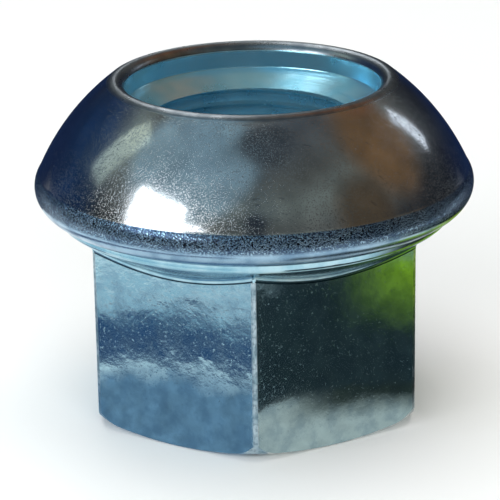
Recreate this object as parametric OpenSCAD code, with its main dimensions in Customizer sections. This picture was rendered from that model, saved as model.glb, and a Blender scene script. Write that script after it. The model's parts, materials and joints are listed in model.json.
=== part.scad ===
// Open-ended lug nut with a ball seat.
// One forged piece of plated steel: a hexagon for the wrench, a die-formed shoulder, and a collar
// whose outside is part of a ball, bored through and threaded for a wheel stud.
// It stands on the end of its hexagon, with the ball seat upwards. Millimetres and degrees.

/* [Hexagon] */
// Distance between two opposite flats
across_flats = 32; // [28:0.5:34]
// Height of a flat at its middle, from the foot to the shoulder
flat_h = 18.15; // [15:0.05:19]
// Width of the narrow land left at each corner of the hexagon
corner_land = 0.3; // [0.1:0.05:2]
// How far the foot's edge lies inside the flats
foot_setback = 0.3; // [0.1:0.05:2]
// Slope of the chamfer round the foot
foot_angle = 22; // [15:1:40]
// How far a steeper facet at each corner of the foot reaches in from the corner
tip_inset = 0.65; // [0.2:0.05:1]
// Slope of that facet
tip_angle = 60; // [45:1:75]

/* [Shoulder and collar] */
// Slope of the shoulder between the flats and the neck
shoulder_angle = 30; // [20:1:40]
// Height of the collar's underside above the foot
underside_h = 21.35; // [20:0.05:23]
// Radius of the collar's rounded edge
collar_edge_r = 2.25; // [1.5:0.05:3]
// How far the collar stands out past the neck
collar_overhang = 2.1; // [1:0.1:3]

/* [Ball seat] */
// Height of the whole nut
height = 34.3; // [33:0.1:38]
// Radius of the ball seat
seat_r = 24; // [22:0.5:30]
// Radius of the rounded lip round the mouth
lip_r = 1.1; // [0.6:0.05:1.6]
// Angle of the crease between the machined seat and the collar's edge
edge_crease = 13; // [6:1:25]
// Angle of the faint crease between the machined seat and the lip
lip_crease = 8; // [5:1:20]

/* [Thread and bore] */
// Nominal diameter of the stud's thread
thread_d = 22; // [18:0.5:24]
// Pitch of the thread
thread_pitch = 1.5; // [1:0.25:2]
// Gap between the stud and the plain wall of the counterbore, on one side
stud_clearance = 1.85; // [0.8:0.05:2.5]
// Depth of the counterbore's plain wall, below the lip
counterbore_depth = 1.75; // [0.5:0.05:6]
// How much wider than the stud the countersink at the foot is, on one side
foot_sink = 0.5; // [0.2:0.05:1.5]
// Full angle of the cones that lead to the thread from the counterbore and from the foot
sink_angle = 120; // [90:5:130]
// How far above its centre the lip's round meets the counterbore, as an angle
lip_wrap = 13; // [8:1:30]

/* [Hidden] */
$fn = 180;

// Plated steel, a pale blue silver
plating = [0.70, 0.77, 0.81];
// How far each cut runs past the metal
overrun = 1;

// The hexagon: its flats face the sides, and a corner faces the front and the back
hex_sides = 6;
hex_turn = 30;
flat_r = across_flats / 2;
sharp_corner_r = flat_r / cos(180 / hex_sides);
flat_half_w = flat_r * tan(180 / hex_sides) - corner_land / 2;
corner_r = norm([flat_r, flat_half_w]);
foot_r = flat_r - foot_setback;
tip_r = corner_r - tip_inset;
foot_chamfer_h = (tip_r - foot_r) * tan(foot_angle);
tip_h = tip_inset * tan(tip_angle);

// The bore: a thread's minor diameter is its nominal diameter less this share of the pitch
minor_share = 1.0825;
thread_minor_r = (thread_d - minor_share * thread_pitch) / 2;
counterbore_r = thread_d / 2 + stud_clearance;
foot_sink_r = thread_d / 2 + foot_sink;

// The lip: a round that runs into the counterbore on its inside and crosses the ball on its outside
lip_x = counterbore_r + lip_r * cos(lip_wrap);
lip_z = height - lip_r;
lip_reach = sqrt(pow(seat_r, 2) + pow(lip_r, 2) - 2 * seat_r * lip_r * cos(lip_crease));

// The ball hangs below the lip, on the axis
ball_z = lip_z - sqrt(pow(lip_reach, 2) - pow(lip_x, 2));
lip_tilt = atan2(lip_z - ball_z, lip_x);

// The collar's edge: a round that crosses the ball and rests its lowest point on the underside
edge_reach = sqrt(pow(seat_r, 2) + pow(collar_edge_r, 2) - 2 * seat_r * collar_edge_r * cos(edge_crease));
edge_z = underside_h + collar_edge_r;
edge_x = sqrt(pow(edge_reach, 2) - pow(edge_z - ball_z, 2));
edge_tilt = atan2(edge_z - ball_z, edge_x);
collar_r = edge_x + collar_edge_r;

// The neck under the collar, and the shoulder that widens into it from inside the flats
neck_r = collar_r - collar_overhang;
neck_z = flat_h + (neck_r - flat_r) * tan(shoulder_angle);
root_r = foot_r;
root_z = flat_h - (flat_r - root_r) * tan(shoulder_angle);

// Heights along the bore
lead_z = lip_z + lip_r * sin(lip_wrap) - counterbore_depth;
thread_top_z = lead_z - (counterbore_r - thread_minor_r) / tan(sink_angle / 2);
thread_foot_z = (foot_sink_r - thread_minor_r) / tan(sink_angle / 2);

// The hexagon with its corners and its foot turned off, up into the collar
module hexagon_blank() {
  intersection() {
    rotate([0, 0, hex_turn])
      cylinder(h = edge_z, r = sharp_corner_r, $fn = hex_sides);
    rotate_extrude()
      polygon([
        [0, 0],
        [foot_r, 0],
        [tip_r, foot_chamfer_h],
        [corner_r, foot_chamfer_h + tip_h],
        [corner_r, edge_z],
        [0, edge_z]
      ]);
  }
}

// The slice of the ball between the lines through the centres of the edge and of the lip
module ball_section() {
  intersection() {
    translate([0, ball_z])
      circle(r = seat_r);
    polygon([
      [0, edge_z],
      [edge_x, edge_z],
      [edge_x + seat_r * cos(edge_tilt), edge_z + seat_r * sin(edge_tilt)],
      [lip_x + seat_r * cos(lip_tilt), lip_z + seat_r * sin(lip_tilt)],
      [lip_x, lip_z],
      [0, lip_z]
    ]);
  }
}

// The shoulder and the neck, which rise inside the collar to a blunt point
module neck_section() {
  polygon([
    [0, root_z],
    [root_r, root_z],
    [neck_r, neck_z],
    [neck_r, edge_z],
    [0, lip_z]
  ]);
}

// Half of the collar, cut through the axis
module collar_section() {
  ball_section();
  neck_section();
  translate([edge_x, edge_z])
    circle(r = collar_edge_r);
  translate([lip_x, lip_z])
    circle(r = lip_r);
  // metal between the axis and the lip, for the counterbore to be cut in
  square([(lip_x - lip_r + counterbore_r) / 2, height]);
}

// Foot countersink, thread at its minor diameter, lead-in cone and counterbore
module bore_section() {
  polygon([
    [0, -overrun],
    [foot_sink_r + overrun * tan(sink_angle / 2), -overrun],
    [thread_minor_r, thread_foot_z],
    [thread_minor_r, thread_top_z],
    [counterbore_r, lead_z],
    [counterbore_r, height + overrun],
    [0, height + overrun]
  ]);
}

// The whole nut
module nut() {
  color(plating)
    difference() {
      union() {
        hexagon_blank();
        rotate_extrude()
          collar_section();
      }
      rotate_extrude()
        bore_section();
    }
}

nut();
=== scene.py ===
"""A plated steel lug nut with a ball seat, dressed and lit on a plain pale floor.

The nut's solids are drawn in millimetres, as in the part's source, and scaled to metres when done.
"""

import json
import logging
import math
from dataclasses import dataclass
from enum import Enum

import bmesh
import bpy
from mathutils import Matrix, Vector


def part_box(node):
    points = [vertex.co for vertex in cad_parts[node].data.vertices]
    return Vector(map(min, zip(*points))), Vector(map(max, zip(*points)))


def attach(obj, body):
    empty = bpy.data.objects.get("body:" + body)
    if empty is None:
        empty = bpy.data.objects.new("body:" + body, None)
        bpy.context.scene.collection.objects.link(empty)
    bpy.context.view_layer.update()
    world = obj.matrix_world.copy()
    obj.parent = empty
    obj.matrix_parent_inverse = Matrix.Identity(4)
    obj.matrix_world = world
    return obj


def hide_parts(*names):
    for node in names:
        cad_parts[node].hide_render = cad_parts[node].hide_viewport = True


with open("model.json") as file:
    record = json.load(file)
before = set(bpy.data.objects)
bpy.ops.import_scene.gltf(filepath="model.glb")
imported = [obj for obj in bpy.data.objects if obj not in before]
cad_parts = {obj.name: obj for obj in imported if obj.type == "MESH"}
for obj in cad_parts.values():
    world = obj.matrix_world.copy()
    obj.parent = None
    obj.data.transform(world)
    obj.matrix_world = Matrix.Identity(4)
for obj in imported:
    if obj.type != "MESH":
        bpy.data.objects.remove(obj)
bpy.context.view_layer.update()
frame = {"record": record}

log = logging.getLogger("lug_nut")

MM = 0.001
NODE = "nut"
BODY = "root"
IMAGE_PIXELS = 500
SENSOR_MM = 36.0

# Corners closer than this are one corner, in a mesh's own unit
MERGE_WITHIN = 1e-5
# How far a cutting solid runs past the metal, and how far apart two places plainly differ, in millimetres
OVERRUN = 1.0
APART = 1.0
# The part of a noise's range that most of it lies in
NOISE_SPAN = (0.3, 0.7)
# The sockets of a Mix node for colours: the share, the colour under, the colour over and the result
MIX_SHARE, MIX_UNDER, MIX_OVER, MIX_RESULT = 0, 6, 7, 2


class Cut(Enum):
    """How one solid is joined with or taken from another."""

    JOIN = "UNION"
    TAKE_AWAY = "DIFFERENCE"
    KEEP_SHARED = "INTERSECT"


class Zone(Enum):
    """The differently made surfaces of the nut, in the order of its material slots."""

    SEAT = 0
    FORGED = 1
    NECK = 2
    CREASE = 3
    FLAT = 4
    EDGE = 5
    BORE = 6
    LIP = 7


class Pattern(Enum):
    """What a tool, a die or handling leaves: how noise is stretched, turned, detailed and cut off."""

    WAVES = ((1.0, 1.0, 1.0), (0.0, 0.0, 0.0), 2.0, 0.5)
    PEEL = ((1.0, 1.0, 1.0), (0.0, 0.0, 0.0), 4.5, 0.5)
    GRIT = ((1.0, 1.0, 1.0), (0.0, 0.0, 0.0), 3.0, 0.06)
    RINGS = ((0.0, 0.0, 1.0), (0.0, 0.0, 0.0), 2.0, 0.5)
    SCRATCHES = ((1.0, 9.0, 1.0), (0.4, 0.7, 0.9), 1.0, 0.02)


def mount(name: str) -> dict:
    """Find a mount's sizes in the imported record.

    Args:
        name: The mount's name.

    Returns:
        The mount's sizes, in millimetres.
    """
    return next(m["dims"] for m in frame["record"]["mounts"] if m["name"] == name)


def colour(code: str) -> tuple[float, float, float, float]:
    """Turn an sRGB hex colour into the linear one that the shaders take.

    Args:
        code: The colour as six hex digits.

    Returns:
        Linear red, green, blue and an alpha of one.
    """
    parts = [int(code[i:i + 2], 16) / 255 for i in (0, 2, 4)]
    linear = [p / 12.92 if p <= 0.04045 else ((p + 0.055) / 1.055) ** 2.4 for p in parts]
    return (*linear, 1.0)


def direction(azimuth: float, elevation: float) -> Vector:
    """Point from the nut into the room.

    Args:
        azimuth: Degrees from the camera's side towards the right.
        elevation: Degrees above the floor.

    Returns:
        A unit vector.
    """
    a, e = math.radians(azimuth), math.radians(elevation)
    return Vector((math.sin(a) * math.cos(e), -math.cos(a) * math.cos(e), math.sin(e)))


def add_node(tree: bpy.types.NodeTree, kind: str, inputs: dict | None = None, **settings) -> bpy.types.Node:
    """Add a node, set its own settings, and set or link its inputs.

    Args:
        tree: The node tree.
        kind: Blender's name for the node's type.
        inputs: Values or other nodes' output sockets, by input name or number.
        settings: The node's own properties.

    Returns:
        The new node.
    """
    made = tree.nodes.new(kind)
    for name, value in settings.items():
        setattr(made, name, value)
    for socket, value in (inputs or {}).items():
        if isinstance(value, bpy.types.NodeSocket):
            tree.links.new(value, made.inputs[socket])
        else:
            made.inputs[socket].default_value = value
    return made


def into_scene(bm: bmesh.types.BMesh, name: str) -> bpy.types.Object:
    """Merge a mesh's doubles, turn its faces outwards and put it in the scene.

    Args:
        bm: The mesh, which is freed.
        name: The object's name.

    Returns:
        The new object.
    """
    bmesh.ops.remove_doubles(bm, verts=bm.verts, dist=MERGE_WITHIN)
    bmesh.ops.recalc_face_normals(bm, faces=bm.faces)
    mesh = bpy.data.meshes.new(name)
    bm.to_mesh(mesh)
    bm.free()
    obj = bpy.data.objects.new(name, mesh)
    bpy.context.scene.collection.objects.link(obj)
    return obj


def carve(body: bpy.types.Object, tool: bpy.types.Object, cut: Cut) -> None:
    """Join a tool solid to a body, or cut the body with it, and remove the tool.

    Args:
        body: The solid that stays.
        tool: The solid that is used up.
        cut: What is done with the two.
    """
    step = body.modifiers.new("carve", "BOOLEAN")
    step.object = tool
    step.operation = cut.value
    step.solver = "EXACT"
    bpy.context.view_layer.update()
    done = bpy.data.meshes.new_from_object(body.evaluated_get(bpy.context.evaluated_depsgraph_get()))
    body.modifiers.clear()
    body.data = done
    bpy.data.objects.remove(tool)


class TurnedProfile:
    """The section of a turned solid, drawn with a moving tip beside the axis and then spun round it."""

    ROUND_STEPS = 4

    def __init__(self, height: float) -> None:
        """Start on the axis, at the given height."""
        self.bm = bmesh.new()
        self.tip = self.bm.verts.new((0, 0, height))
        self.rounds: list[tuple[bmesh.types.BMVert, float]] = []

    def line(self, radius: float, height: float, rounded: float = 0.0) -> "TurnedProfile":
        """Draw a straight line to a point.

        Args:
            radius: The point's distance from the axis.
            height: The point's height.
            rounded: How far along each side a round at this point reaches.

        Returns:
            The profile, so that steps can follow each other.
        """
        self.tip = bmesh.ops.extrude_vert_indiv(self.bm, verts=[self.tip])["verts"][0]
        self.tip.co = (radius, 0, height)
        if rounded:
            self.rounds.append((self.tip, rounded))
        return self

    def arc(self, radius: float, height: float, turn: float, steps: int) -> "TurnedProfile":
        """Draw an arc from the tip about a centre.

        Args:
            radius: The centre's distance from the axis.
            height: The centre's height.
            turn: The arc's angle in degrees, positive from outwards to upwards.
            steps: How many straight steps stand for the arc.

        Returns:
            The profile, so that steps can follow each other.
        """
        swept = bmesh.ops.spin(self.bm, geom=[self.tip], axis=(0, -1, 0), cent=(radius, 0, height),
                               angle=math.radians(turn), steps=steps)
        self.tip = next(g for g in swept["geom_last"] if isinstance(g, bmesh.types.BMVert))
        return self

    def solid(self, steps: int, name: str) -> bpy.types.Object:
        """Round the marked corners and spin the section into a closed solid.

        Args:
            steps: How many steps make the full turn.
            name: The solid's name.

        Returns:
            The solid, in millimetres.
        """
        for corner, reach in self.rounds:
            bmesh.ops.bevel(self.bm, geom=[corner], offset=reach, offset_type="OFFSET",
                            segments=self.ROUND_STEPS, profile=0.5, affect="VERTICES", material=-1)
        bmesh.ops.spin(self.bm, geom=self.bm.verts[:] + self.bm.edges[:], axis=(0, 0, 1), cent=(0, 0, 0),
                       angle=math.tau, steps=steps, use_merge=True)
        return into_scene(self.bm, name)


@dataclass
class HexagonEnd:
    """The wrench hexagon, which stands on its chamfered foot."""

    sides: int = 6
    across_flats: float = 32.0
    flat_h: float = 18.15
    foot_setback: float = 0.3
    foot_angle: float = 22.0
    tip_inset: float = 0.65
    tip_angle: float = 60.0
    land_cut: float = 0.075
    corner_round: float = 0.33
    corner_steps: int = 8
    foot_round: float = 0.12
    tip_round: float = 0.4

    def __post_init__(self) -> None:
        """Work out the flats' and the foot's radius."""
        self.flat_r = self.across_flats / 2
        self.sharp_r = self.flat_r / math.cos(math.pi / self.sides)
        self.foot_r = self.flat_r - self.foot_setback
        self.tip_r = self.sharp_r - self.land_cut - self.tip_inset

    def build(self, top: float, turn_steps: int) -> bpy.types.Object:
        """Make the hexagon with rounded corners and a chamfered foot.

        Args:
            top: The height that it reaches, inside the collar.
            turn_steps: How many steps a full turn has.

        Returns:
            The solid, with two of its corners on the Y axis.
        """
        bm = bmesh.new()
        corner_on_y = Matrix.Rotation(math.pi / self.sides, 4, "Z")
        bmesh.ops.create_cone(bm, cap_ends=True, segments=self.sides, radius1=self.sharp_r,
                              radius2=self.sharp_r, depth=top, matrix=Matrix.Translation((0, 0, top / 2)))
        if min(abs(v.co.x) for v in bm.verts) > APART:
            bmesh.ops.transform(bm, matrix=corner_on_y, verts=bm.verts)
        upright = [e for e in bm.edges if abs(e.verts[0].co.z - e.verts[1].co.z) > APART]
        bmesh.ops.bevel(bm, geom=upright, offset=self.corner_round, offset_type="OFFSET",
                        segments=self.corner_steps, profile=0.5, affect="EDGES", material=-1)
        blank = into_scene(bm, "hexagon")
        wide = self.sharp_r + OVERRUN
        chamfer_top = (self.tip_r - self.foot_r) * math.tan(math.radians(self.foot_angle))
        tip_top = chamfer_top + (wide - self.tip_r) * math.tan(math.radians(self.tip_angle))
        foot = TurnedProfile(0.0).line(self.foot_r, 0.0, rounded=self.foot_round)
        foot.line(self.tip_r, chamfer_top, rounded=self.tip_round).line(wide, tip_top)
        foot.line(wide, top + OVERRUN).line(0.0, top + OVERRUN)
        carve(blank, foot.solid(turn_steps, "foot"), Cut.KEEP_SHARED)
        return blank


@dataclass
class BallSeatCollar:
    """The collar: a shoulder and neck below, a rounded edge, the ball seat and the lip of the mouth."""

    height: float
    collar_r: float
    mouth_r: float
    shoulder_angle: float = 30.0
    underside_h: float = 21.35
    edge_r: float = 2.25
    overhang: float = 2.1
    seat_r: float = 24.0
    lip_r: float = 1.1
    lip_crease: float = 8.0
    lip_wrap: float = 13.0
    lip_end: float = 174.0
    neck_round: float = 0.35
    edge_steps: int = 28
    seat_steps: int = 48
    lip_steps: int = 26

    def __post_init__(self) -> None:
        """Work out the centres of the rounds, as the part's source does."""
        self.lip_x = self.mouth_r + self.lip_r * math.cos(math.radians(self.lip_wrap))
        self.lip_z = self.height - self.lip_r
        self.edge_x = self.collar_r - self.edge_r
        self.edge_z = self.underside_h + self.edge_r
        self.neck_r = self.collar_r - self.overhang
        reach = self.seat_r ** 2 + self.lip_r ** 2
        reach -= 2 * self.seat_r * self.lip_r * math.cos(math.radians(self.lip_crease))
        self.ball_z = self.lip_z - math.sqrt(reach - self.lip_x ** 2)
        crease, _ = self.crossing(self.edge_x, self.edge_z, self.edge_r, 1)
        self.crease_z = self.ball_z + self.seat_r * math.sin(math.radians(crease))
        top, _ = self.crossing(self.lip_x, self.lip_z, self.lip_r, -1)
        self.lip_out = self.seat_r * math.cos(math.radians(top))

    def crossing(self, x: float, z: float, radius: float, side: int) -> tuple[float, float]:
        """Find where a round crosses the ball.

        Args:
            x: The round's centre, from the axis.
            z: The round's centre, in height.
            radius: The round's radius.
            side: One for the crossing above the round's centre line, minus one for the other.

        Returns:
            The crossing's angle about the ball's centre, and about the round's, in degrees.
        """
        across = Vector((x, z - self.ball_z))
        share = (self.seat_r ** 2 + across.length_squared - radius ** 2) / (2 * self.seat_r * across.length)
        on_ball = math.atan2(across.y, across.x) + side * math.acos(share)
        spoke = Vector((math.cos(on_ball), math.sin(on_ball))) * self.seat_r - across
        return math.degrees(on_ball), math.degrees(math.atan2(spoke.y, spoke.x))

    def build(self, hexagon: HexagonEnd, turn_steps: int) -> bpy.types.Object:
        """Turn the collar.

        Args:
            hexagon: The hexagon that the shoulder grows out of.
            turn_steps: How many steps a full turn has.

        Returns:
            The solid, still without its bore.
        """
        rise = math.tan(math.radians(self.shoulder_angle))
        root_z = hexagon.flat_h - (hexagon.flat_r - hexagon.foot_r) * rise
        neck_z = hexagon.flat_h + (self.neck_r - hexagon.flat_r) * rise
        wall = math.degrees(math.acos((self.neck_r - self.edge_x) / self.edge_r))
        wall_z = self.edge_z - self.edge_r * math.sin(math.radians(wall))
        ball_low, edge_top = self.crossing(self.edge_x, self.edge_z, self.edge_r, 1)
        ball_high, lip_out = self.crossing(self.lip_x, self.lip_z, self.lip_r, -1)
        section = TurnedProfile(root_z).line(hexagon.foot_r, root_z)
        section.line(self.neck_r, neck_z, rounded=self.neck_round).line(self.neck_r, wall_z)
        section.arc(self.edge_x, self.edge_z, edge_top + wall, self.edge_steps)
        section.arc(0.0, self.ball_z, ball_high - ball_low, self.seat_steps)
        section.arc(self.lip_x, self.lip_z, self.lip_end - lip_out, self.lip_steps)
        section.line(0.0, section.tip.co.z)
        return section.solid(turn_steps, "collar")


@dataclass
class ThreadedBore:
    """The hole: a stud clearance below the lip, a lead-in cone, a metric thread and a countersunk foot."""

    minor_r: float
    clearance_r: float
    clearance_depth: float
    pitch: float = 1.5
    foot_sink_r: float = 11.5
    sink_angle: float = 120.0
    sink_round: float = 0.1
    lead_round: float = 0.15
    groove_start: float = -0.975
    groove_overlap: float = 0.15
    groove_short: float = 2.0
    groove_steps: int = 72

    def hole(self, collar: BallSeatCollar, turn_steps: int) -> bpy.types.Object:
        """Turn the plain hole, as wide as the thread's crests.

        Args:
            collar: The collar, whose lip runs into the hole.
            turn_steps: How many steps a full turn has.

        Returns:
            The solid that is taken away.
        """
        sink = math.tan(math.radians(self.sink_angle / 2))
        lead = collar.lip_z + collar.lip_r * math.sin(math.radians(collar.lip_wrap)) - self.clearance_depth
        section = TurnedProfile(-OVERRUN).line(self.foot_sink_r + OVERRUN * sink, -OVERRUN)
        section.line(self.minor_r, (self.foot_sink_r - self.minor_r) / sink, rounded=self.sink_round)
        section.line(self.minor_r, lead - (self.clearance_r - self.minor_r) / sink)
        section.line(self.clearance_r, lead, rounded=self.lead_round)
        section.line(self.clearance_r, collar.height + OVERRUN).line(0.0, collar.height + OVERRUN)
        return section.solid(turn_steps, "hole")

    def groove(self, collar: BallSeatCollar) -> bpy.types.Object:
        """Wind the thread's groove, with the flat crest and root of a metric thread.

        Args:
            collar: The collar, whose height the groove runs up to.

        Returns:
            The helical solid that is taken away.
        """
        bm = bmesh.new()
        # A metric thread: sides at 60 degrees, a crest a quarter of the pitch wide and a root an eighth
        depth = 5 * math.sqrt(3) / 16 * self.pitch
        inside = self.groove_overlap
        mouth_half = 3 * self.pitch / 8 + inside / math.sqrt(3)
        root_half = self.pitch / 16
        turns = math.ceil((collar.height - self.groove_short) / self.pitch)
        corners = [(-inside, -mouth_half), (depth, -root_half), (depth, root_half), (-inside, mouth_half)]
        verts = [bm.verts.new((self.minor_r + r, 0, z + self.groove_start)) for r, z in corners]
        steps = self.groove_steps * turns
        bmesh.ops.spin(bm, geom=[bm.faces.new(verts)], axis=(0, 0, 1), cent=(0, 0, 0),
                       angle=math.tau * turns, dvec=(0, 0, self.pitch / self.groove_steps), steps=steps)
        return into_scene(bm, "groove")


@dataclass
class LugNut:
    """The whole nut, one solid, with its zones of differently made surface."""

    hexagon: HexagonEnd
    collar: BallSeatCollar
    bore: ThreadedBore
    turn_steps: int = 240
    shoulder_fillet: float = 0.55
    fillet_steps: int = 6
    foot_round: float = 0.12
    foot_steps: int = 3
    join_below: float = 20.0
    join_upright: float = 0.05
    join_sloped: tuple[float, float] = (0.6, 0.95)
    smooth_below: float = 12.5
    wall_margin: float = 0.05
    bore_margin: float = 0.5
    facing_in: float = -0.3
    facing_down: float = -0.99
    neck_margin: float = 0.01
    upright: float = 0.02
    flat_area: float = 10.0
    side_margin: float = 2.0

    def soften_joins(self, nut: bpy.types.Object) -> None:
        """Round the hollow where each flat runs into the shoulder, and the flats' edges at the foot.

        Args:
            nut: The joined hexagon and collar.
        """
        bm = bmesh.new()
        bm.from_mesh(nut.data)
        hollows = (True, self.shoulder_fillet, self.fillet_steps)
        edges = (False, self.foot_round, self.foot_steps)
        gentle, steep = self.join_sloped
        for hollow, reach, steps in (hollows, edges):
            joins = []
            for edge in bm.edges:
                tilts = sorted(abs(f.normal.z) for f in edge.link_faces)
                if len(tilts) != 2 or edge.verts[0].co.z >= self.join_below:
                    continue
                slopes = tilts[0] < self.join_upright and gentle < tilts[1] < steep
                if slopes and (edge.calc_face_angle_signed() < 0) == hollow:
                    joins.append(edge)
            bmesh.ops.bevel(bm, geom=joins, offset=reach, offset_type="OFFSET", segments=steps, profile=0.5,
                            affect="EDGES", material=-1, clamp_overlap=not hollow)
        bm.to_mesh(nut.data)
        bm.free()

    def zone(self, face: bmesh.types.BMFace) -> Zone:
        """Say how the surface of a face was made, from its place and tilt.

        Args:
            face: A face of the finished nut, in millimetres.

        Returns:
            The face's zone.
        """
        middle = face.calc_center_median()
        around = middle.xy.length
        outward = face.normal.xy.dot(middle.xy) / max(around, MERGE_WITHIN)
        wall = self.bore.clearance_r
        in_bore = outward < self.facing_in or around < wall - self.bore_margin
        if around < wall + self.wall_margin and in_bore:
            return Zone.BORE if face.normal.z > self.facing_down else Zone.EDGE
        if middle.z > self.collar.crease_z:
            return Zone.SEAT if around > self.collar.lip_out else Zone.LIP
        if middle.z > self.collar.underside_h and around > self.collar.neck_r - self.neck_margin:
            return Zone.FORGED
        if abs(face.normal.z) < self.upright and around < self.hexagon.sharp_r:
            return Zone.FLAT if face.calc_area() > self.flat_area else Zone.EDGE
        if middle.z < self.hexagon.flat_h / 2:
            return Zone.EDGE
        side_top = self.hexagon.flat_h / 2 + self.side_margin
        beside = [other for edge in face.edges for other in edge.link_faces]
        sides = [f for f in beside if abs(f.normal.z) < self.upright and f.calc_center_median().z < side_top]
        return Zone.CREASE if sides else Zone.NECK

    def build(self, finishes: dict[Zone, "PlatedFinish"]) -> bpy.types.Object:
        """Join the blank, bore it, thread it, finish its zones and scale it to metres.

        Args:
            finishes: The finish of each zone.

        Returns:
            The nut.
        """
        nut = self.hexagon.build(self.collar.edge_z, self.turn_steps)
        carve(nut, self.collar.build(self.hexagon, self.turn_steps), Cut.JOIN)
        self.soften_joins(nut)
        carve(nut, self.bore.hole(self.collar, self.turn_steps), Cut.TAKE_AWAY)
        carve(nut, self.bore.groove(self.collar), Cut.TAKE_AWAY)
        nut.name = nut.data.name = "lug_nut"
        nut.data.materials.clear()
        for zone in Zone:
            nut.data.materials.append(finishes[zone].material())
        bm = bmesh.new()
        bm.from_mesh(nut.data)
        bm.normal_update()
        for face in bm.faces:
            face.material_index = self.zone(face).value
            face.smooth = True
        bmesh.ops.transform(bm, matrix=Matrix.Scale(MM, 4), verts=bm.verts)
        bm.to_mesh(nut.data)
        bm.free()
        nut.data.set_sharp_from_angle(angle=math.radians(self.smooth_below))
        return nut

    def dress(self, nut: bpy.types.Object) -> None:
        """Steady the nut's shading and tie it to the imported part.

        Args:
            nut: The finished nut.
        """
        steady = nut.modifiers.new("steady_shading", "WEIGHTED_NORMAL")
        steady.keep_sharp = True
        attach(nut, BODY)
        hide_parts(NODE)


@dataclass(frozen=True)
class Mark:
    """One kind of mark in the steel, which the thin plate follows. Lengths in millimetres."""

    pattern: Pattern
    size: float
    depth: float
    share: float = 0.5
    soil: float = 0.0
    fades: tuple[float, float] | None = None
    coarseness: float = 0.6

    def spread(self, tree: bpy.types.NodeTree, place: bpy.types.NodeSocket) -> bpy.types.NodeSocket:
        """Draw where the mark lies.

        Args:
            tree: The material's nodes.
            place: Object coordinates.

        Returns:
            A value from zero, clear, to one, fully marked.
        """
        stretch, turn, detail, cut_off = self.pattern.value
        at = add_node(tree, "ShaderNodeMapping", {"Vector": place, "Rotation": turn, "Scale": stretch})
        noise = add_node(tree, "ShaderNodeTexNoise", {
            "Vector": at.outputs[0], "Scale": 1 / (self.size * MM), "Detail": detail,
            "Roughness": self.coarseness})
        drawn = add_node(tree, "ShaderNodeMapRange", {
            "Value": noise.outputs["Fac"], "From Min": self.share - cut_off,
            "From Max": self.share + cut_off})
        if self.fades is None:
            return drawn.outputs[0]
        height = add_node(tree, "ShaderNodeSeparateXYZ", {0: place}).outputs["Z"]
        faded = add_node(tree, "ShaderNodeMapRange", {
            "Value": height, "From Min": self.fades[0] * MM, "From Max": self.fades[1] * MM,
            "To Max": drawn.outputs[0]})
        return faded.outputs[0]


@dataclass(frozen=True)
class PlatedFinish:
    """Zinc plate with a clear blue passivate, over steel shaped in one way. Lengths in millimetres."""

    name: str
    tint: str
    cloud_tint: str
    soil_tint: str
    roughness: float
    roughness_spread: float
    cloud_size: float
    marks: tuple[Mark, ...] = ()
    metallic: float = 1.0
    cloud_detail: float = 5.0
    cloud_coarseness: float = 0.55
    cloud_edges: tuple[float, float] = (0.38, 0.66)

    def material(self) -> bpy.types.Material:
        """Make the finish as a node material: a clouded plate over the marks in the steel."""
        made = bpy.data.materials.new(self.name)
        made.use_nodes = True
        tree = made.node_tree
        tree.nodes.clear()
        place = add_node(tree, "ShaderNodeTexCoord").outputs["Object"]
        cloud = add_node(tree, "ShaderNodeTexNoise", {
            "Vector": place, "Scale": 1 / (self.cloud_size * MM), "Detail": self.cloud_detail,
            "Roughness": self.cloud_coarseness}).outputs["Fac"]
        clouded = add_node(tree, "ShaderNodeMapRange", {
            "Value": cloud, "From Min": self.cloud_edges[0], "From Max": self.cloud_edges[1]},
            interpolation_type="SMOOTHSTEP")
        plate = add_node(tree, "ShaderNodeMix", {
            MIX_SHARE: clouded.outputs[0], MIX_UNDER: colour(self.tint), MIX_OVER: colour(self.cloud_tint)},
            data_type="RGBA").outputs[MIX_RESULT]
        gloss = add_node(tree, "ShaderNodeMapRange", {
            "Value": cloud, "From Min": NOISE_SPAN[0], "From Max": NOISE_SPAN[1],
            "To Min": self.roughness - self.roughness_spread,
            "To Max": self.roughness + self.roughness_spread})
        shader = add_node(tree, "ShaderNodeBsdfPrincipled", {
            "Metallic": self.metallic, "Roughness": gloss.outputs[0]})
        bumps: list[bpy.types.Node] = []
        for mark in self.marks:
            spread = mark.spread(tree, place)
            below = {"Normal": bumps[-1].outputs[0]} if bumps else {}
            bumps.append(add_node(tree, "ShaderNodeBump", {
                "Height": spread, "Distance": mark.depth * MM, **below}, invert=True))
            if mark.soil:
                soiled = add_node(tree, "ShaderNodeMapRange", {"Value": spread, "To Max": mark.soil})
                plate = add_node(tree, "ShaderNodeMix", {
                    MIX_SHARE: soiled.outputs[0], MIX_UNDER: plate, MIX_OVER: colour(self.soil_tint)},
                    data_type="RGBA").outputs[MIX_RESULT]
        tree.links.new(plate, shader.inputs["Base Color"])
        if bumps:
            tree.links.new(bumps[-1].outputs[0], shader.inputs["Normal"])
        add_node(tree, "ShaderNodeOutputMaterial", {"Surface": shader.outputs[0]})
        return made


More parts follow.
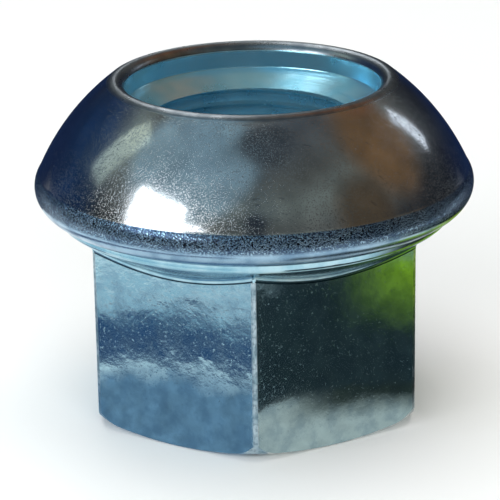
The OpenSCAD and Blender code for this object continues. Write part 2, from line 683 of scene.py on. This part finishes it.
@dataclass
class PhotoCamera:
    """The camera at the photograph's angle: a long lens, a little above the nut. Lengths in millimetres."""

    elevation: float = 19.556
    azimuth: float = 0.82
    roll: float = -0.92
    distance: float = 252.88
    focal_pixels: float = 2458.5
    target_x: float = -0.533
    target_z: float = 15.79
    nearest: float = 10.0

    def build(self) -> bpy.types.Object:
        """Put the camera in the scene and make it the one that renders."""
        data = bpy.data.cameras.new("photo_camera")
        data.sensor_width = SENSOR_MM
        data.lens = self.focal_pixels * SENSOR_MM / IMAGE_PIXELS
        data.clip_start = self.nearest * MM
        camera = bpy.data.objects.new("photo_camera", data)
        bpy.context.scene.collection.objects.link(camera)
        stand = Matrix.Rotation(math.radians(self.azimuth), 4, "Z")
        stand @= Matrix.Translation((self.target_x * MM, 0, self.target_z * MM))
        stand @= Matrix.Rotation(math.radians(90.0 - self.elevation), 4, "X")
        stand @= Matrix.Rotation(math.radians(self.roll), 4, "Z")
        camera.matrix_world = stand @ Matrix.Translation((0, 0, self.distance * MM))
        bpy.context.scene.camera = camera
        return camera


@dataclass
class SoftBox:
    """A rectangular soft light that looks at the nut. Lengths in metres, angles in degrees."""

    name: str
    azimuth: float
    elevation: float
    distance: float
    width: float
    height: float
    power: float
    tint: str = "FFFFFF"
    mirrored: bool = True

    def build(self) -> bpy.types.Object:
        """Hang the light, with azimuth counted from the camera's side towards the right."""
        data = bpy.data.lights.new(self.name, "AREA")
        data.shape = "RECTANGLE"
        data.size = self.width
        data.size_y = self.height
        data.energy = self.power
        data.color = colour(self.tint)[:3]
        lamp = bpy.data.objects.new(self.name, data)
        lamp.visible_glossy = self.mirrored
        bpy.context.scene.collection.objects.link(lamp)
        back = direction(self.azimuth, self.elevation)
        lamp.location = back * self.distance
        lamp.rotation_euler = back.to_track_quat("Z", "Y").to_euler()
        return lamp


@dataclass
class Flag:
    """A curved card round the nut that glows only in reflections, a painted reflection of a dark or pale
    room, with soft ends.

    Lengths in millimetres, angles in degrees, and places on the card as shares of its width and height.
    """

    name: str
    radius: float
    anchor: float
    soft_end: float
    from_azimuth: float
    to_azimuth: float
    low: float
    high: float
    tint: str
    far_tint: str
    fade: float = 0.15
    skirt: float = 0.0
    far_heights: tuple[float, float] = (0.45, 0.9)
    far_sides: tuple[float, float] = (0.55, 0.9)
    dapple: float = 0.3
    ragged: float = 1.0
    slant: float = 0.0
    steps: int = 48
    ragged_spread: float = 1.6
    edge_noise_size: float = 5.0
    edge_noise_detail: float = 3.0
    patch_size: float = 1.6
    patch_detail: float = 4.0
    patch_coarseness: float = 0.65

    def bend(self) -> bpy.types.Object:
        """Bend the card round the nut, with azimuth counted from the camera's side towards the right."""
        bm = bmesh.new()
        outwards = direction(self.from_azimuth, 0.0)
        edge = bm.verts.new(outwards * (self.radius - self.skirt) + Vector((0, 0, self.low)))
        for height in (self.low, self.high):
            edge = bmesh.ops.extrude_vert_indiv(bm, verts=[edge])["verts"][0]
            edge.co = outwards * self.radius + Vector((0, 0, height))
        bmesh.ops.spin(bm, geom=bm.verts[:] + bm.edges[:], axis=(0, 0, 1), cent=(0, 0, 0),
                       angle=math.radians(self.to_azimuth - self.from_azimuth), steps=self.steps)
        bmesh.ops.transform(bm, matrix=Matrix.Scale(MM, 4), verts=bm.verts)
        return into_scene(bm, self.name)

    def tone(self, tree: bpy.types.NodeTree, spot: bpy.types.Node) -> bpy.types.NodeSocket:
        """Blend the card's tint into its far tint.

        Args:
            tree: The card's nodes.
            spot: The place on the card, as shares.

        Returns:
            The card's colour.
        """
        upper = add_node(tree, "ShaderNodeMapRange", {
            "Value": spot.outputs["Z"], "From Min": self.far_heights[0], "From Max": self.far_heights[1]})
        far = add_node(tree, "ShaderNodeMapRange", {
            "Value": spot.outputs["X"], "From Min": self.far_sides[0], "From Max": self.far_sides[1],
            "To Max": upper.outputs[0]}, interpolation_type="SMOOTHSTEP")
        return add_node(tree, "ShaderNodeMix", {
            MIX_SHARE: far.outputs[0], MIX_UNDER: colour(self.tint), MIX_OVER: colour(self.far_tint)},
            data_type="RGBA").outputs[MIX_RESULT]

    def bareness(self, tree: bpy.types.NodeTree, place: bpy.types.NodeSocket,
                 spot: bpy.types.Node) -> bpy.types.NodeSocket:
        """Draw where the card ends: along a noisy, ragged or slanting top, and towards its soft ends.

        Args:
            tree: The card's nodes.
            place: Object coordinates.
            spot: The place on the card, as shares.

        Returns:
            A value from zero, covered, to one, bare.
        """
        edge_noise = add_node(tree, "ShaderNodeTexNoise", {
            "Vector": place, "Scale": 1 / (self.edge_noise_size * MM), "Detail": self.edge_noise_detail})
        ragged_by = self.fade * self.ragged_spread
        ragged_top = add_node(tree, "ShaderNodeMapRange", {
            "Value": edge_noise.outputs["Fac"], "From Min": NOISE_SPAN[0], "From Max": NOISE_SPAN[1],
            "To Min": 1.0 - ragged_by, "To Max": 1.0 - ragged_by * (1.0 - self.ragged)})
        sunk = add_node(tree, "ShaderNodeMapRange", {
            "Value": spot.outputs["X"], "To Min": max(self.slant, 0.0), "To Max": max(-self.slant, 0.0)})
        level = add_node(tree, "ShaderNodeMath", {0: spot.outputs["Z"], 1: sunk.outputs[0]}, operation="ADD")
        reach = max(abs(self.from_azimuth - self.anchor), abs(self.to_azimuth - self.anchor))
        facing = add_node(tree, "ShaderNodeVectorMath", {0: place, 1: direction(self.anchor, 0.0)},
                          operation="DOT_PRODUCT").outputs["Value"]
        side = add_node(tree, "ShaderNodeMapRange", {
            "Value": facing, "From Min": self.radius * MM * math.cos(math.radians(reach - self.soft_end)),
            "From Max": self.radius * MM * math.cos(math.radians(reach))}, interpolation_type="SMOOTHSTEP")
        return add_node(tree, "ShaderNodeMapRange", {
            "Value": level.outputs[0], "From Min": ragged_top.outputs[0], "From Max": 1.0,
            "To Min": side.outputs[0]}).outputs[0]

    def reflection_glow(self) -> bpy.types.Material:
        """Make the card's material: a painted reflection, a soft, patchy glow with no shine that mirrored
        rays see in place of the room.
        """
        made = bpy.data.materials.new("painted_reflection_card")
        made.use_nodes = True
        tree = made.node_tree
        tree.nodes.clear()
        coordinates = add_node(tree, "ShaderNodeTexCoord")
        place = coordinates.outputs["Object"]
        spot = add_node(tree, "ShaderNodeSeparateXYZ", {0: coordinates.outputs["Generated"]})
        patchy = add_node(tree, "ShaderNodeTexNoise", {
            "Vector": place, "Scale": 1 / (self.patch_size * MM), "Detail": self.patch_detail,
            "Roughness": self.patch_coarseness})
        bright = add_node(tree, "ShaderNodeMapRange", {
            "Value": patchy.outputs["Fac"], "From Min": NOISE_SPAN[0], "From Max": NOISE_SPAN[1],
            "To Min": 1.0 - self.dapple, "To Max": 1.0 + self.dapple})
        # Painted reflection: this glow stands in for the room, is seen only by mirrored rays, and is no
        # lamp.
        glow = add_node(tree, "ShaderNodeEmission", {
            "Color": self.tone(tree, spot), "Strength": bright.outputs[0]})
        clear = add_node(tree, "ShaderNodeBsdfTransparent")
        ended = add_node(tree, "ShaderNodeMixShader", {
            0: self.bareness(tree, place, spot), 1: glow.outputs[0], 2: clear.outputs[0]})
        add_node(tree, "ShaderNodeOutputMaterial", {"Surface": ended.outputs[0]})
        return made

    def build(self) -> bpy.types.Object:
        """Stand the card beside the nut, where only mirrored rays see it."""
        card = self.bend()
        card.data.materials.append(self.reflection_glow())
        for ray in ("camera", "diffuse", "transmission", "volume_scatter", "shadow"):
            setattr(card, "visible_" + ray, False)
        return card


@dataclass(frozen=True)
class WallPatch:
    """A round area of the room in another tone, as seen from the nut. Angles in degrees."""

    azimuth: float
    elevation: float
    inner: float
    outer: float
    tint: str

    def paint(self, tree: bpy.types.NodeTree, towards: bpy.types.NodeSocket,
              under: bpy.types.NodeSocket) -> bpy.types.NodeSocket:
        """Lay the area over the tones that are already there.

        Args:
            tree: The world's nodes.
            towards: The direction looked at.
            under: The tones below.

        Returns:
            The tones with the area over them.
        """
        facing = add_node(tree, "ShaderNodeVectorMath", {
            0: towards, 1: direction(self.azimuth, self.elevation)},
            operation="DOT_PRODUCT").outputs["Value"]
        share = add_node(tree, "ShaderNodeMapRange", {
            "Value": facing, "From Min": math.cos(math.radians(self.outer)),
            "From Max": math.cos(math.radians(self.inner))}, interpolation_type="SMOOTHSTEP")
        return add_node(tree, "ShaderNodeMix", {
            MIX_SHARE: share.outputs[0], MIX_UNDER: under, MIX_OVER: colour(self.tint)},
            data_type="RGBA").outputs[MIX_RESULT]


@dataclass
class Studio:
    """A pale floor in a dim room, with soft lights and cards for reflections. Lengths in metres."""

    tones: tuple[tuple[float, str], ...]
    patches: tuple[WallPatch, ...]
    lights: tuple[SoftBox, ...]
    flags: tuple[Flag, ...]
    floor_tint: str = "F6F6F4"
    radius: float = 1.5
    cove_r: float = 0.04
    cove_steps: int = 12
    wall_h: float = 0.05
    turn_steps: int = 96
    unevenness: float = 4.5
    uneven_detail: float = 3.0
    uneven_edges: tuple[float, float] = (0.35, 0.6)
    uneven_levels: tuple[float, float] = (0.7, 1.1)

    def floor(self) -> bpy.types.Object:
        """Turn the floor and its low wall."""
        section = TurnedProfile(0.0).line(self.radius - self.cove_r, 0.0)
        section.arc(self.radius - self.cove_r, self.cove_r, 90.0, self.cove_steps)
        section.line(self.radius, self.wall_h)
        floor = section.solid(self.turn_steps, "pale_floor")
        floor.data.shade_smooth()
        # Matt white paper: even, soft, with no shine.
        paper = bpy.data.materials.new("matt_white_paper")
        paper.use_nodes = True
        paper.node_tree.nodes.clear()
        shader = add_node(paper.node_tree, "ShaderNodeBsdfDiffuse", {"Color": colour(self.floor_tint)})
        add_node(paper.node_tree, "ShaderNodeOutputMaterial", {"Surface": shader.outputs[0]})
        floor.data.materials.append(paper)
        return floor

    def room(self) -> None:
        """Make the room: dark near the floor, grey above, with areas of other tones on its walls."""
        world = bpy.data.worlds.new("dim_room")
        bpy.context.scene.world = world
        world.use_nodes = True
        tree = world.node_tree
        tree.nodes.clear()
        towards = add_node(tree, "ShaderNodeTexCoord").outputs["Generated"]
        height = add_node(tree, "ShaderNodeSeparateXYZ", {0: towards}).outputs["Z"]
        ramp = add_node(tree, "ShaderNodeValToRGB", {"Fac": height})
        stops = ramp.color_ramp.elements
        for place, _ in self.tones[1:-1]:
            stops.new(place)
        for stop, (place, code) in zip(stops, self.tones):
            stop.position = place
            stop.color = colour(code)
        walls = ramp.outputs[0]
        for patch in self.patches:
            walls = patch.paint(tree, towards, walls)
        uneven = add_node(tree, "ShaderNodeTexNoise", {
            "Vector": towards, "Scale": self.unevenness, "Detail": self.uneven_detail})
        shade = add_node(tree, "ShaderNodeMapRange", {
            "Value": uneven.outputs["Fac"],
            "From Min": self.uneven_edges[0], "From Max": self.uneven_edges[1],
            "To Min": self.uneven_levels[0], "To Max": self.uneven_levels[1]})
        lit = add_node(tree, "ShaderNodeBackground", {"Color": walls, "Strength": shade.outputs[0]})
        add_node(tree, "ShaderNodeOutputWorld", {"Surface": lit.outputs[0]})

    def build(self) -> None:
        """Lay the floor, set the room, hang the lights and stand the flags."""
        self.floor()
        self.room()
        for box in self.lights:
            box.build()
            log.info("%s: light", box.name)
        for flag in self.flags:
            flag.build()
            log.info("%s: flag", flag.name)


# The room's tones by height, from level with the floor (0) to straight up (1)
WALL_TONES = (
    (0.0, "1A1D22"),
    (0.3, "33373C"),
    (0.5, "6A6E6C"),
    (0.67, "76807D"),
    (0.8, "5E6260"),
    (0.97, "59626A"),
    (1.0, "8795A0"),
)
# Areas of the room: azimuth, elevation, where each is full, where it ends, and its tone
WALL_PATCHES = (
    WallPatch(-55.0, 57.0, 25.0, 33.0, "8DABBA"),
    WallPatch(18.0, 74.0, 8.0, 15.0, "454C53"),
    WallPatch(1.0, 35.0, 3.5, 7.0, "1D2436"),
    WallPatch(105.0, 40.0, 12.0, 24.0, "7D6144"),
    WallPatch(66.0, 28.0, 8.0, 20.0, "584C3D"),
    WallPatch(145.0, 52.0, 10.0, 20.0, "96603F"),
    WallPatch(-125.0, 12.0, 15.0, 35.0, "203B63"),
    WallPatch(180.0, 80.0, 8.0, 17.0, "7A776D"),
)
# Two large lights for the floor and its shadow, and small ones that the plate mirrors:
# azimuth, elevation, distance, width, height and power
LIGHTS = (
    SoftBox("overhead", 180.0, 85.0, 0.9, 1.0, 1.0, 6.0, mirrored=False),
    SoftBox("front_fill", 0.0, 27.0, 0.9, 1.0, 0.4, 6.0, mirrored=False),
    SoftBox("window_back", -137.0, 63.0, 0.6, 0.055, 0.2, 0.1),
    SoftBox("window_high", -164.0, 50.0, 0.6, 0.1, 0.3, 0.22),
    SoftBox("window_behind", -175.0, 32.0, 0.6, 0.06, 0.2, 0.08),
    SoftBox("window_left", -56.0, 31.0, 0.55, 0.26, 0.17, 0.7),
    SoftBox("window_low", -35.0, 28.0, 0.55, 0.14, 0.08, 0.17),
    SoftBox("wall_left", -104.0, 38.0, 0.6, 0.13, 0.27, 0.076, "E0F0DC"),
    SoftBox("window_right", 128.0, 27.0, 0.6, 0.07, 0.16, 0.05, "EAF3FF"),
)
# Cards that glow only in reflections, as painted reflections of the room: dark ones for the collar's edge
# and the back, and those that give each flat its bands
FLAGS = (
    Flag("front_flag", radius=42.0, anchor=0.0, soft_end=20.0, from_azimuth=-100.0, to_azimuth=100.0,
         low=16.5, high=31.0, tint="15171A", far_tint="15171A", ragged=0.0),
    Flag("back_flag", radius=60.0, anchor=180.0, soft_end=20.0, from_azimuth=105.0, to_azimuth=255.0,
         low=0.0, high=45.0, tint="1B2A4A", far_tint="20222A", ragged=0.0),
    Flag("right_flag", radius=24.0, anchor=12.0, soft_end=45.0, from_azimuth=12.0, to_azimuth=130.0,
         low=0.0, high=18.0, tint="323B3C", far_tint="B5D32B"),
    Flag("right_low", radius=36.0, anchor=95.0, soft_end=30.0, from_azimuth=45.0, to_azimuth=145.0,
         low=4.0, high=17.0, tint="26282C", far_tint="26282C", ragged=0.0),
    Flag("right_near", radius=19.0, anchor=4.0, soft_end=45.0, from_azimuth=4.0, to_azimuth=130.0,
         low=0.05, high=4.9, tint="E0D6CA", far_tint="373C36", fade=0.2, skirt=3.5,
         far_heights=(0.2, 0.7), far_sides=(0.1, 0.6), dapple=0.12),
    Flag("left_far", radius=53.0, anchor=-8.0, soft_end=45.0, from_azimuth=-130.0, to_azimuth=-8.0,
         low=0.0, high=5.0, tint="BCDBE8", far_tint="BCDBE8"),
    Flag("left_middle", radius=33.0, anchor=-8.0, soft_end=45.0, from_azimuth=-130.0, to_azimuth=-8.0,
         low=0.9, high=7.5, tint="36557C", far_tint="36557C"),
    Flag("left_near", radius=19.0, anchor=-4.0, soft_end=45.0, from_azimuth=-130.0, to_azimuth=-4.0,
         low=0.05, high=8.2, tint="87A1B8", far_tint="87A1B8", fade=0.22, skirt=3.5, slant=0.28),
)

# Ball face turned on a lathe, then plated: bright and smooth, with faint rings, fine pits and scratches.
# Real turning rings and pits are finer; these are drawn as coarse as they need to be to show.
TURNED_SEAT = PlatedFinish(
    "zinc_plate_on_turned_seat", "C8CCCE", "B4BBC0", "4A5670", 0.12, 0.03, 5.0,
    (Mark(Pattern.WAVES, 6.0, 0.03), Mark(Pattern.WAVES, 1.2, 0.004), Mark(Pattern.RINGS, 0.5, 0.002),
     Mark(Pattern.GRIT, 0.13, 0.006, 0.62, 0.2), Mark(Pattern.SCRATCHES, 1.6, 0.003, 0.7, 0.2)))
# Collar edge left as forged: the plate follows a pitted skin, so it glitters in dark and bright specks.
FORGED_SKIN = PlatedFinish(
    "zinc_plate_on_forged_edge", "A0BFD5", "7C9DB8", "22345A", 0.22, 0.05, 2.5,
    (Mark(Pattern.GRIT, 0.17, 0.022, 0.48, 0.8, (22.9, 23.3)),))
# Neck and shoulder formed by a die: smooth and clean, so it mirrors the collar and the floor in blue bands.
DIE_FORMED_NECK = PlatedFinish(
    "zinc_plate_on_die_formed_neck", "B6D8E4", "93C0D3", "33415C", 0.18, 0.03, 3.0,
    (Mark(Pattern.WAVES, 3.0, 0.02),))
# Hollow line where the flats end: a dull plate tinted dark blue-grey as painted shade for the hollow, so it
# reads as a thin dark line.
CREASE_WITH_PAINTED_SHADE = PlatedFinish(
    "zinc_plate_with_painted_shade_in_crease", "1E3540", "2F4754", "33415C", 0.45, 0.05, 1.0)
# Flats of a formed blank: nearly flat, slightly rippled, clouded blue by the passivate, with fine pits.
FORMED_FLAT = PlatedFinish(
    "zinc_plate_on_formed_flat", "A3C5D2", "8DAFC0", "2C3E66", 0.19, 0.05, 1.8,
    (Mark(Pattern.WAVES, 9.0, 0.3), Mark(Pattern.PEEL, 3.0, 0.1), Mark(Pattern.GRIT, 0.34, 0.018, 0.7),
     Mark(Pattern.GRIT, 0.24, 0.03, 0.725, 0.15)))
# Corners and foot rubbed in the plating barrel, a little rough there; the plate's whitest tint there is
# partly wear and partly a painted highlight for the light that edges catch.
RUBBED_EDGE_WITH_PAINTED_HIGHLIGHT = PlatedFinish(
    "zinc_plate_rubbed_with_painted_highlight_at_edges", "BCD0DA", "94B0BE", "5F7A8C", 0.36, 0.06, 1.5,
    (Mark(Pattern.GRIT, 0.4, 0.02, 0.55, 0.5),))
# Tapped and bored hole: cut rings that scatter a little light, and a deeper blue from wall to wall.
CUT_BORE = PlatedFinish(
    "zinc_plate_in_cut_bore", "A6DFF2", "8DD2EA", "1F4152", 0.25, 0.04, 3.0,
    (Mark(Pattern.RINGS, 0.35, 0.02),), metallic=0.88)
# Lip rolled over by the tool that faced the mouth: softer than the seat, so its highlights spread.
ROLLED_LIP = PlatedFinish(
    "zinc_plate_on_rolled_lip", "9FA7AD", "858F97", "4A5670", 0.3, 0.05, 2.0,
    (Mark(Pattern.WAVES, 1.5, 0.01),))

FINISHES = {
    Zone.SEAT: TURNED_SEAT,
    Zone.FORGED: FORGED_SKIN,
    Zone.NECK: DIE_FORMED_NECK,
    Zone.CREASE: CREASE_WITH_PAINTED_SHADE,
    Zone.FLAT: FORMED_FLAT,
    Zone.EDGE: RUBBED_EDGE_WITH_PAINTED_HIGHLIGHT,
    Zone.BORE: CUT_BORE,
    Zone.LIP: ROLLED_LIP,
}


def main() -> None:
    """Build the nut, its studio and its camera."""
    logging.basicConfig(level=logging.INFO, format="%(message)s")
    bpy.context.scene.view_settings.view_transform = "Standard"
    low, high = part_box(NODE)
    thread, clearance = mount("thread"), mount("stud_clearance")
    bore = ThreadedBore(thread["r_mm"], clearance["r_mm"], clearance["length_mm"])
    collar = BallSeatCollar(high.z / MM, (high.x - low.x) / 2 / MM, bore.clearance_r)
    nut = LugNut(HexagonEnd(), collar, bore)
    solid = nut.build(FINISHES)
    nut.dress(solid)
    log.info("%s: %d faces", solid.name, len(solid.data.polygons))
    Studio(WALL_TONES, WALL_PATCHES, LIGHTS, FLAGS).build()
    log.info("%s: camera", PhotoCamera().build().name)


if __name__ == "__main__":
    main()
